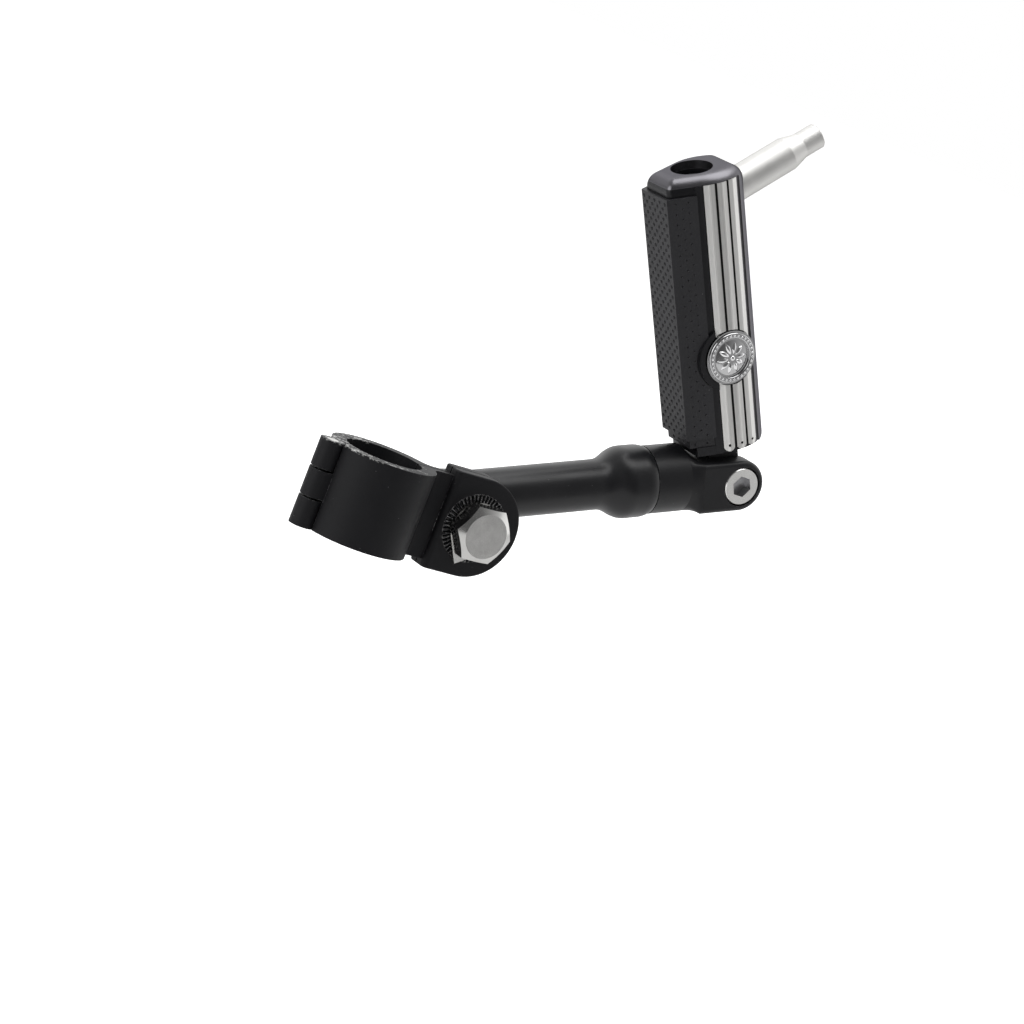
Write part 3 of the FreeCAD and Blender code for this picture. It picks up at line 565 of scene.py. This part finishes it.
def turned_steel(name, centre, axis, roughness, rings, tone, socket=None, graze=1.0):
    """Polished or turned steel with faint rings about an axis, dull and dark in a socket.

    The socket is given as its radius and the place along the axis where its dark starts; the
    dark is painted shade in the recess, and the steel there is also duller.
    graze is how bright the steel is at a grazing look.
    """
    values = finish_values()
    material, t, shader = new_material(name)
    here = t.here()
    turned = t.use(shared("rings", turned_rings_group), Vector=here, Centre=centre,
                   Axis=axis, Scale=rings)
    smear = smears(t, here, 120.0)
    colour = toned(t, smear, values.steel_colour, tone * 0.9, tone * 1.08)
    worn = t.math("ADD", smear, t.product(turned["Height"], 0.4))
    rough = t.span(worn, 0.4, 1.0, roughness, roughness + 0.12)
    if socket:
        radius, start = socket
        # Painted shade in the socket: darker steel below its start, and rougher there as well
        inside = t.math("LESS_THAN", turned["Radius"], radius)
        dark = t.product(inside, t.span(turned["Along"], start, start + SOCKET_BAND))
        colour = t.blend(dark, colour, (0.42, 0.42, 0.43, 1))
        rough = t.math("ADD", rough, t.product(dark, 0.12))
    t.feed(shader["Base Color"], colour)
    shader["Metallic"].default_value = 1.0
    t.feed(shader["Roughness"], rough)
    t.feed(shader["Normal"], t.bump(turned["Height"], 0.000012, 0.5))
    shader["Specular Tint"].default_value = (graze, graze, graze, 1)
    return material


def dark_oxide(name):
    """Blackened steel of the screws inside the peg and the clevis."""
    material, t, shader = new_material(name)
    here = t.here()
    grain = fine_grain(t, here, 1400.0)
    worn = rubbed_edges(t, here, 0.0003, 0.4)
    colour = t.blend(grain["Tone"], (0.02, 0.02, 0.021, 1), (0.045, 0.045, 0.047, 1))
    t.feed(shader["Base Color"], t.blend(worn, colour, (0.3, 0.3, 0.3, 1)))
    t.feed(shader["Roughness"], t.span(grain["Tone"], 0.3, 0.7, 0.35, 0.5))
    shader["Metallic"].default_value = 0.6
    t.feed(shader["Normal"], t.bump(grain["Height"], 0.00001, 0.4))
    return material


def peg_coat(name, channel_light_from, plated_from, end_from):
    """Black coat on the peg's flanks and trim, with smoky plating on its end and underside.

    In the peg's own frame, the coat turns grey at the first given place towards the underside,
    as painted light on the shaded channel beside the last bar, and the plating starts at
    plated_from there and at end_from towards the outer end.
    """
    values = finish_values()
    material, t, shader = new_material(name)
    here = t.here()
    grain = fine_grain(t, here, 500.0)
    across = peg_measure(t, here, PEG_DOWN)
    end = t.span(peg_measure(t, here, PEG_ALONG), end_from, end_from + COAT_BAND)
    # Smoky grey on the plated end, and flat grey in the channel beside the last bar as painted
    # light
    grey = t.math("MAXIMUM", end, t.span(across, channel_light_from, channel_light_from + COAT_BAND))
    plated = t.math("MAXIMUM", end, t.span(across, plated_from, plated_from + COAT_BAND))
    black = toned(t, grain["Tone"], values.paint_colour, 0.8, 1.3)
    smoke = toned(t, grain["Tone"], values.smoke_colour, 0.85, 1.15)
    colour = dusted(t, here, t.blend(grey, black, smoke), 500.0, 0.3, (0.35, 0.35, 0.35, 1))
    t.feed(shader["Base Color"], colour)
    t.feed(shader["Metallic"], plated)
    t.feed(shader["Roughness"], t.span(grain["Tone"], 0.3, 0.7, 0.3, 0.38))
    shader["Specular IOR Level"].default_value = 0.6
    shader["Specular Tint"].default_value = (0.4, 0.4, 0.41, 1)
    t.feed(shader["Normal"], t.bump(grain["Height"], 0.00002, 0.2))
    return material


def pad_rubber(name):
    """Matte rubber with a fine tooth and a little dust."""
    values = finish_values()
    material, t, shader = new_material(name)
    here = t.here()
    grain = fine_grain(t, here, 2600.0)
    colour = toned(t, grain["Tone"], values.rubber_colour, 0.75, 1.35)
    colour = dusted(t, here, colour, 420.0, 0.3, (0.25, 0.25, 0.25, 1))
    t.feed(shader["Base Color"], colour)
    t.feed(shader["Roughness"], t.span(grain["Height"], 0.3, 0.7, 0.45, 0.6))
    shader["Specular IOR Level"].default_value = 0.35
    t.feed(shader["Normal"], t.bump(grain["Height"], 0.00005, 0.5))
    return material


def ribbed_steel(name, crown, curve_middle, curve, pitch):
    """Steel bars brushed along the peg, with a rolled ridge on each and dark gaps between them.

    The dark on the bars' flanks and at the gaps is painted shade, and the lighter steel along each
    ridge is a painted highlight. The bars lie on a curve about a line along the peg: crown and
    curve_middle are its place across the peg and from the peg's middle, and pitch is the arc
    between two bars.
    """
    values = finish_values()
    material, t, shader = new_material(name)
    here = t.here()
    along = t.turn(here, (0, -PEG_LEAN, 0))
    lines = t.use(shared("brushing", brushing_group), Vector=along, Scale=3800.0, Stretch=0.012)
    side = t.math("SUBTRACT", peg_measure(t, here, PEG_DOWN), crown)
    from_middle = t.math("ABSOLUTE", t.math("SUBTRACT", t.split(here)[1], PIVOT.y))
    up = t.math("SUBTRACT", from_middle, curve_middle)
    arc = t.product(t.math("ARCTAN2", side, up), curve)
    from_ridge = t.math("ABSOLUTE", t.math("WRAP", arc, pitch / 2, -pitch / 2))
    from_gap = t.math("ABSOLUTE", t.math("SUBTRACT", t.math("ABSOLUTE", arc), pitch / 2))
    # Steel on the bars' tops; below them and at the gaps, dark as painted shade
    bare = t.span(t.hypotenuse(side, up), *(curve - depth for depth in BAR_FEET))
    bare = t.product(bare, t.span(from_gap, *(pitch * share for share in GAP_EDGE)))
    bare = t.math("MAXIMUM", bare, t.span(arc, *(pitch * share for share in LAST_FLANK)))
    # The ridge lifts the bump, and lightens the steel along it as a painted highlight
    ridge = t.span(from_ridge, *RIDGE_BAND, 1.0, 0.0)
    tone = t.math("ADD", lines["Tone"], t.product(ridge, 0.5), clamp=True)
    metal = toned(t, tone, values.steel_colour, 0.76, 1.15)
    t.feed(shader["Base Color"], t.blend(bare, (0.012, 0.012, 0.012, 1), metal))
    t.feed(shader["Metallic"], bare)
    t.feed(shader["Roughness"], t.span(lines["Tone"], 0.3, 0.7, 0.36, 0.48))
    shader["Specular Tint"].default_value = (0.5, 0.5, 0.5, 1)
    rolled = t.bump(ridge, 0.0001, 0.5)
    t.feed(shader["Normal"], t.bump(lines["Height"], 0.00002, 0.6, rolled))
    return material


def badge_chrome(name, tone):
    """Bright plating, a little smeared."""
    material, t, shader = new_material(name)
    here = t.here()
    smear = smears(t, here, 260.0)
    low = (tone * 0.88, tone * 0.88, tone * 0.89, 1)
    t.feed(shader["Base Color"], t.blend(smear, low, (tone, tone, tone * 1.01, 1)))
    shader["Metallic"].default_value = 1.0
    t.feed(shader["Roughness"], t.span(smear, 0.3, 0.7, 0.06, 0.16))
    t.feed(shader["Normal"], t.bump(smear, 0.00003, 0.2))
    return material


# Stage

FLOOR_LEVEL = -0.16
FLOOR_SIZE = 30.0
FLOOR_FRONT = -0.6

# The floor's glow: from a near to a far distance, and its strength at each
FLOOR_GLOW = (0.3, 1.8, 0.5, 0.85)
GLOW_IN_GLOSS = 0.1

# The world's strength as light, and how it darkens in gloss towards the front
AMBIENT = 0.34
FRONT = (-0.55, -0.82, 0.15)
ROOM_IN_GLOSS = (-0.35, 0.75, 1.0, 0.15)

# Soft lights: name, place, aim, size across, power in watts
LIGHTS = (
    ("left_light", (-2.3, -0.3, 0.35), (0.08, 0, 0.05), 2.2, 27.0),
    ("top_light", (0.0, -0.2, 2.4), (0.1, 0, 0.05), 2.4, 46.0),
    ("right_light", (2.1, 0.1, 0.9), (0.1, 0, 0.05), 2.2, 6.0),
    ("back_light", (0.2, 2.2, 1.4), (0.1, 0, 0.1), 2.4, 9.0),
)

# The camera: place, turn in degrees, focal length in millimetres
CAMERA_PLACE = (-0.704309, -1.136188, 0.221491)
CAMERA_TURN = (80.57144, -21.31423, -30.68848)
CAMERA_LENS = 121.2114


def seen(t, path):
    """1 where the camera sees a place itself or through glass, and 0 otherwise."""
    return t.math("MAXIMUM", path["Is Camera Ray"], path["Is Transmission Ray"])


class FOOTPEG_OT_stage(bpy.types.Operator):
    """Make the floor, the soft lights, the world and the camera"""

    bl_idname = "footpeg.stage"
    bl_label = "Stage"

    def execute(self, context):
        self.floor()
        self.world(context.scene)
        self.lights(context.scene)
        self.camera(context.scene)
        context.scene.view_settings.view_transform = "Standard"
        return {"FINISHED"}

    def floor(self):
        """A pale floor whose white comes from a glow that lights nothing, so shadows stay."""
        middle = (0, FLOOR_FRONT + FLOOR_SIZE / 2, FLOOR_LEVEL)
        bpy.ops.mesh.primitive_plane_add(size=FLOOR_SIZE, location=middle)
        floor = bpy.context.object
        floor.name = "stage_floor"
        material, t, shader = new_material("stage_white")
        grain = t.noise(t.here(), 3.0, 2.0)
        t.feed(shader["Base Color"], t.blend(grain, (0.86, 0.86, 0.86, 1), (0.9, 0.9, 0.9, 1)))
        shader["Roughness"].default_value = 0.9
        shader["Emission Color"].default_value = (1, 1, 1, 1)
        x, y, z = t.split(t.node("ShaderNodeNewGeometry").outputs["Position"])
        path = t.node("ShaderNodeLightPath").outputs
        share = t.math("MAXIMUM", seen(t, path), t.product(path["Is Glossy Ray"], GLOW_IN_GLOSS))
        glow = t.span(t.hypotenuse(x, y), *FLOOR_GLOW)
        t.feed(shader["Emission Strength"], t.product(glow, share))
        floor.data.materials.append(material)

    def world(self, scene):
        """White where seen, soft where it lights, and in gloss darker towards the front."""
        world = bpy.data.worlds.new("stage_world")
        scene.world = world
        world.use_nodes = True
        t = Tree(world.node_tree)
        back = world.node_tree.nodes["Background"]
        back.inputs["Color"].default_value = (1, 1, 1, 1)
        path = t.node("ShaderNodeLightPath").outputs
        facing = t.along(t.node("ShaderNodeTexCoord").outputs["Generated"], FRONT)
        room = t.span(facing, *ROOM_IN_GLOSS)
        plain = t.span(seen(t, path), 0.0, 1.0, AMBIENT, 1.0)
        mirrored = t.product(path["Is Glossy Ray"], t.math("SUBTRACT", room, plain))
        t.feed(back.inputs["Strength"], t.math("ADD", plain, mirrored))

    def lights(self, scene):
        for name, place, aim, size, power in LIGHTS:
            data = bpy.data.lights.new(name, "AREA")
            data.shape = "DISK"
            data.size = size
            data.energy = power
            lamp = bpy.data.objects.new(name, data)
            lamp.location = place
            aimed = Vector(aim) - Vector(place)
            lamp.rotation_euler = aimed.to_track_quat("-Z", "Y").to_euler()
            scene.collection.objects.link(lamp)

    def camera(self, scene):
        data = bpy.data.cameras.new("photo_camera")
        data.sensor_width = 36.0
        data.lens = CAMERA_LENS
        data.clip_start = 0.05
        data.clip_end = 60.0
        camera = bpy.data.objects.new("photo_camera", data)
        camera.location = CAMERA_PLACE
        camera.rotation_euler = [math.radians(angle) for angle in CAMERA_TURN]
        scene.collection.objects.link(camera)
        scene.camera = camera


# Measuring and shaping

def local_points(mesh):
    """A mesh's points in the peg's own frame."""
    back = PEG_FRAME.inverted()
    return [back @ vertex.co for vertex in mesh.vertices]


def local_box(mesh):
    """The lowest and highest corner in the peg's own frame."""
    points = local_points(mesh)
    low = Vector([min(p[i] for p in points) for i in range(3)])
    high = Vector([max(p[i] for p in points) for i in range(3)])
    return low, high


def turn_out(direction):
    """A direction of the peg's own frame in the row's frame."""
    return (PEG_FRAME.to_3x3() @ direction).normalized()


def middle_on_axis(node, axis):
    """A point on the axis of a turned piece that lies along a direction."""
    turn = axis.to_track_quat("Z", "Y").to_matrix()
    back = turn.inverted()
    points = [back @ vertex.co for vertex in NODES[node].data.vertices]
    middle = [(min(p[i] for p in points) + max(p[i] for p in points)) / 2 for i in range(3)]
    return turn @ Vector(middle)


def weld(mesh):
    """Joins the mesh's doubled points, so that it is one closed skin."""
    form = bmesh.new()
    form.from_mesh(mesh)
    bmesh.ops.remove_doubles(form, verts=form.verts, dist=WELD_WITHIN)
    form.to_mesh(mesh)
    form.free()


def skin(mesh):
    """A mesh's faces, ready for rays."""
    return BVHTree.FromPolygons(
        [vertex.co for vertex in mesh.vertices], [polygon.vertices for polygon in mesh.polygons])


def cones(name, spots):
    """One object with a cone at each spot, its blunt point inwards and its middle on the spot."""
    form = bmesh.new()
    for point, out, radius in spots:
        made = bmesh.ops.create_cone(
            form, cap_ends=True, segments=PIT_SIDES, radius1=PIT_POINT, radius2=2 * radius,
            depth=2 * radius)
        place = Matrix.Translation(point) @ out.to_track_quat("Z", "Y").to_matrix().to_4x4()
        bmesh.ops.transform(form, matrix=place, verts=made["verts"])
    mesh = bpy.data.meshes.new(name)
    form.to_mesh(mesh)
    form.free()
    cutter = bpy.data.objects.new(name, mesh)
    bpy.context.scene.collection.objects.link(cutter)
    return cutter


def settle(context, piece):
    """Makes a piece's modifiers part of its mesh."""
    context.view_layer.update()
    shaped = piece.evaluated_get(context.evaluated_depsgraph_get())
    mesh = bpy.data.meshes.new_from_object(shaped)
    piece.modifiers.clear()
    piece.data = mesh


# Pieces

class FOOTPEG_OT_clamp(bpy.types.Operator):
    """Paint the clamp's halves and finish its hinge pin"""

    bl_idname = "footpeg.clamp"
    bl_label = "Clamp"

    def execute(self, context):
        paint = painted("clamp_paint", 0.5, 0.16, 2.0, chips=True)
        dress(paint, "clamp_rear_half", "clamp_front_half")
        dress(hinge_steel("pin_steel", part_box("clamp_hinge_pin")[1][2]), "clamp_hinge_pin")
        return {"FINISHED"}


class FOOTPEG_OT_clamp_bolt(bpy.types.Operator):
    """Polish the clamp's bolt and its plate washer"""

    bl_idname = "footpeg.clamp_bolt"
    bl_label = "Clamp bolt"

    def execute(self, context):
        bolt = turned_steel("bolt_steel", BOLT_CENTRE, BOLT_AXIS, 0.13, 2600.0, 0.8)
        dress(bolt, "clamp_bolt")
        plate = turned_steel("plate_steel", BOLT_CENTRE, BOLT_AXIS, 0.18, 900.0, 0.9)
        dress(plate, "bolt_lock_plate")
        return {"FINISHED"}


class FOOTPEG_OT_arm(bpy.types.Operator):
    """Paint the arm and the clevis, and blacken the screws in the clevis and the peg's end"""

    bl_idname = "footpeg.arm"
    bl_label = "Arm and clevis"

    def execute(self, context):
        dress(painted("arm_paint", 0.34, 0.34, 1.2), "mount_arm")
        # The clevis's edges are rubbed more than the arm's: partly edge wear, partly a painted
        # highlight along the groove's edge by the bell
        dress(painted("clevis_paint", 0.4, 0.3, 2.0), "clevis")
        oxide = dark_oxide("screw_oxide")
        dress(oxide, "clevis_screw", "clevis_screw_washer", "peg_end_screw")
        return {"FINISHED"}


class FOOTPEG_OT_pivot(bpy.types.Operator):
    """Finish the pivot bolt, the washers and the peg's core"""

    bl_idname = "footpeg.pivot"
    bl_label = "Pivot"

    def execute(self, context):
        head_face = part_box("pivot_bolt")[0][1] - PIVOT.y
        socket = (SOCKET_RADIUS, head_face + SOCKET_FROM)
        chrome = turned_steel("socket_chrome", PIVOT, BOLT_AXIS, 0.12, 2400.0, 1.3, socket)
        dress(chrome, "pivot_bolt")
        spring = turned_steel("spring_steel", PIVOT, BOLT_AXIS, 0.3, 1500.0, 0.7)
        dress(spring, "pivot_wave_washer")
        dress(dark_oxide("core_oxide"), "peg_core", "peg_end_washer")
        return {"FINISHED"}


class FOOTPEG_OT_peg(bpy.types.Operator):
    """Coat the peg's body and trim frames, and finish the wear peg under its end"""

    bl_idname = "footpeg.peg"
    bl_label = "Peg"

    def execute(self, context):
        bar_end = local_box(NODES["rib_bar_3_front"].data)[1]
        frame_edge = local_box(NODES["trim_frame_front"].data)[1].x
        # Where the painted light on the shaded channel beside the last bar begins
        channel_light_from = bar_end.x - CHANNEL_LIGHT_BEFORE
        coat = peg_coat("peg_coat", channel_light_from, frame_edge + COAT_BAND, bar_end.z)
        dress(coat, "peg_body", "trim_frame_front", "trim_frame_rear")
        axis = Matrix.Rotation(-WEAR_SLANT, 3, "Y") @ PEG_DOWN
        middle = middle_on_axis("wear_peg", axis)
        steel = turned_steel("wear_steel", middle, axis, 0.46, 1800.0, 1.12, graze=0.3)
        dress(steel, "wear_peg")
        return {"FINISHED"}


class FOOTPEG_OT_pad(bpy.types.Operator):
    """Cut staggered rows of small pits in the rubber pad's face and flanks"""

    bl_idname = "footpeg.pad"
    bl_label = "Pad"

    def execute(self, context):
        source = NODES["peg_pad"]
        pad = bpy.data.objects.new("pad_with_pits", source.data.copy())
        context.scene.collection.objects.link(pad)
        weld(pad.data)
        cutter = cones("pad_pits", self.spots(pad.data))
        cut = pad.modifiers.new("pits", "BOOLEAN")
        cut.operation = "DIFFERENCE"
        cut.solver = "EXACT"
        cut.object = cutter
        settle(context, pad)
        bpy.data.objects.remove(cutter)
        pad.data.materials.clear()
        pad.data.materials.append(pad_rubber("pad_rubber"))
        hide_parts("peg_pad")
        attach(pad, "peg")
        return {"FINISHED"}

    def spots(self, mesh):
        """Where the pits go on face and flanks: (point, outward direction, radius)."""
        values = detail_values()
        tree = skin(mesh)
        low, high = local_box(mesh)
        slant = Vector((math.cos(FLANK_SLANT), math.sin(FLANK_SLANT), 0))
        half_face = max(p.y for p in local_points(mesh) if p.x < low.x + FACE_WITHIN)
        lines = []
        for column in FACE_COLUMNS:
            start = Vector((low.x, column * values.pit_columns, 0))
            lines.append((start, Vector((-1, 0, 0)), column, values.pit_radius))
        for column in FLANK_COLUMNS:
            place = slant * (FLANK_FIRST + column * FLANK_PITCH)
            for side in (1, -1):
                start = Vector((low.x + place.x, side * (half_face + place.y), 0))
                out = Vector((-slant.y, side * slant.x, 0))
                lines.append((start, out, column, values.flank_pit_radius))
        rows = int((high.z - low.z) / values.pit_rows) + 1
        found = []
        for start, out, column, radius in lines:
            for row in range(rows):
                start.z = low.z + FIRST_ROW + (row + 0.5 * (column % 2)) * values.pit_rows
                hit = self.flat_spot(tree, start, out, radius + PIT_MARGIN)
                if hit:
                    found.append((hit, turn_out(out), radius))
        return found

    def flat_spot(self, tree, start, out, room):
        """The surface point under start, if the surface is flat there for the pit's room."""
        across = Vector((0, 0, 1)).cross(out) * room
        upward = Vector((0, 0, room))
        depths = []
        for shift in (Vector(), across, -across, upward, -upward):
            origin = PEG_FRAME @ (start + shift + out * PROBE_HEIGHT)
            depth = tree.ray_cast(origin, -turn_out(out), PROBE_REACH)[3]
            if depth is None:
                return None
            depths.append(depth)
        if max(depths) - min(depths) > FLAT_WITHIN:
            return None
        return PEG_FRAME @ (start + out * (PROBE_HEIGHT - depths[0]))


class FOOTPEG_OT_trim(bpy.types.Operator):
    """Finish the ribbed bars on the peg's sides"""

    bl_idname = "footpeg.trim"
    bl_label = "Trim"

    def execute(self, context):
        low, high = local_box(NODES["rib_bar_2_front"].data)
        crown = (low.x + high.x) / 2
        middle = -low.y - RIB_PEAK - SIDE_CURVE
        steel = ribbed_steel("rib_steel", crown, middle, SIDE_CURVE, RIB_PITCH)
        for side in ("front", "rear"):
            dress(steel, *("rib_bar_%d_%s" % (number, side) for number in (1, 2, 3)))
        return {"FINISHED"}


class FOOTPEG_OT_badges(bpy.types.Operator):
    """Finish the badges and give each a raised rosette and a beaded rim"""

    bl_idname = "footpeg.badges"
    bl_label = "Badges"

    def execute(self, context):
        # One chrome in two tones: darker on the badge's ground as painted shade between the raised
        # relief, and lighter on the relief as a painted highlight
        dress(badge_chrome("badge_chrome", 0.5), "medallion_front", "medallion_rear")
        bright = badge_chrome("badge_relief", 0.8)
        for name, side in (("medallion_front", -1), ("medallion_rear", 1)):
            relief = self.relief(name, side)
            relief.data.materials.append(bright)
            context.scene.collection.objects.link(relief)
            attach(relief, "peg")
        return {"FINISHED"}

    def relief(self, name, side):
        """Petals on the badge's dome and beads on its rim, as one piece."""
        mesh = NODES[name].data
        low, high = local_box(mesh)
        centre = (low + high) / 2
        reach = (high.x - low.x) / 2
        tree = skin(mesh)
        out = Vector((0, side, 0))

        def surface(x, z):
            """The point on the badge beside its centre."""
            beside = Vector((x, side * BADGE_PROBE, z))
            hit = tree.ray_cast(PEG_FRAME @ (centre + beside), -out, 2 * BADGE_PROBE)[0]
            if hit is None:
                raise RuntimeError("the badge's surface wasn't found")
            return hit

        form = bmesh.new()
        values = detail_values()
        for number in range(values.petals):
            angle = 2 * math.pi * number / values.petals
            self.petal(form, surface, out, angle, reach)
        for number in range(values.beads):
            angle = 2 * math.pi * number / values.beads
            circle = reach * BEAD_CIRCLE
            place = surface(math.cos(angle) * circle, math.sin(angle) * circle)
            self.bead(form, place, reach * BEAD_SIZE)
        self.bead(form, surface(0.0, 0.0), reach * HUB_SIZE)
        made = bpy.data.meshes.new(name + "_relief")
        form.to_mesh(made)
        form.free()
        for polygon in made.polygons:
            polygon.use_smooth = True
        return bpy.data.objects.new(name + "_relief", made)

    def petal(self, form, surface, out, angle, size):
        """A pointed leaf with a sharp middle ridge, its edges let into the dome."""
        rows = []
        for step in range(PETAL_STEPS):
            share = step / (PETAL_STEPS - 1)
            swell = math.sin(math.pi * share)
            reach = size * (PETAL_START + PETAL_LENGTH * share)
            width = size * PETAL_WIDTH * swell ** PETAL_FULLNESS + PETAL_LEAST
            rise = PETAL_RISE * swell + PETAL_LEAST
            half = PETAL_SHOULDER * rise
            row = []
            for across, lift in ((-1, -LET_IN), (-0.5, half), (0, rise), (0.5, half), (1, -LET_IN)):
                x = math.cos(angle) * reach - math.sin(angle) * across * width
                z = math.sin(angle) * reach + math.cos(angle) * across * width
                row.append(form.verts.new(surface(x, z) + out * lift))
            rows.append(row)
        for first, second in zip(rows, rows[1:]):
            for i in range(len(first) - 1):
                form.faces.new((first[i], first[i + 1], second[i + 1], second[i]))

    def bead(self, form, place, radius):
        """A small dome on the badge's surface."""
        made = bmesh.ops.create_uvsphere(form, u_segments=10, v_segments=6, radius=radius)
        flat = Matrix.Translation(place) @ Matrix.Diagonal((1, BEAD_FLAT, 1, 1))
        bmesh.ops.transform(form, matrix=flat, verts=made["verts"])


class FOOTPEG_PT_panel(bpy.types.Panel):
    """The footpeg's finishes and pieces"""

    bl_idname = "FOOTPEG_PT_panel"
    bl_label = "Footpeg"
    bl_space_type = "VIEW_3D"
    bl_region_type = "UI"
    bl_category = "Footpeg"

    def draw(self, context):
        for values in (context.scene.footpeg_finish, context.scene.footpeg_detail):
            for name in type(values).__annotations__:
                self.layout.prop(values, name)
        for operator in OPERATORS:
            self.layout.operator(operator.bl_idname)


OPERATORS = (
    FOOTPEG_OT_clamp,
    FOOTPEG_OT_clamp_bolt,
    FOOTPEG_OT_arm,
    FOOTPEG_OT_pivot,
    FOOTPEG_OT_peg,
    FOOTPEG_OT_pad,
    FOOTPEG_OT_trim,
    FOOTPEG_OT_badges,
    FOOTPEG_OT_stage,
)


CLASSES = (FootpegFinish, FootpegDetail, *OPERATORS, FOOTPEG_PT_panel)


def register():
    for made in CLASSES:
        bpy.utils.register_class(made)
    bpy.types.Scene.footpeg_finish = bpy.props.PointerProperty(type=FootpegFinish)
    bpy.types.Scene.footpeg_detail = bpy.props.PointerProperty(type=FootpegDetail)


def unregister():
    del bpy.types.Scene.footpeg_finish
    del bpy.types.Scene.footpeg_detail
    for made in reversed(CLASSES):
        bpy.utils.unregister_class(made)


def main():
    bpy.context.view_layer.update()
    register()
    for operator in OPERATORS:
        group, name = operator.bl_idname.split(".")
        getattr(getattr(bpy.ops, group), name)()


if __name__ == "__main__":
    main()
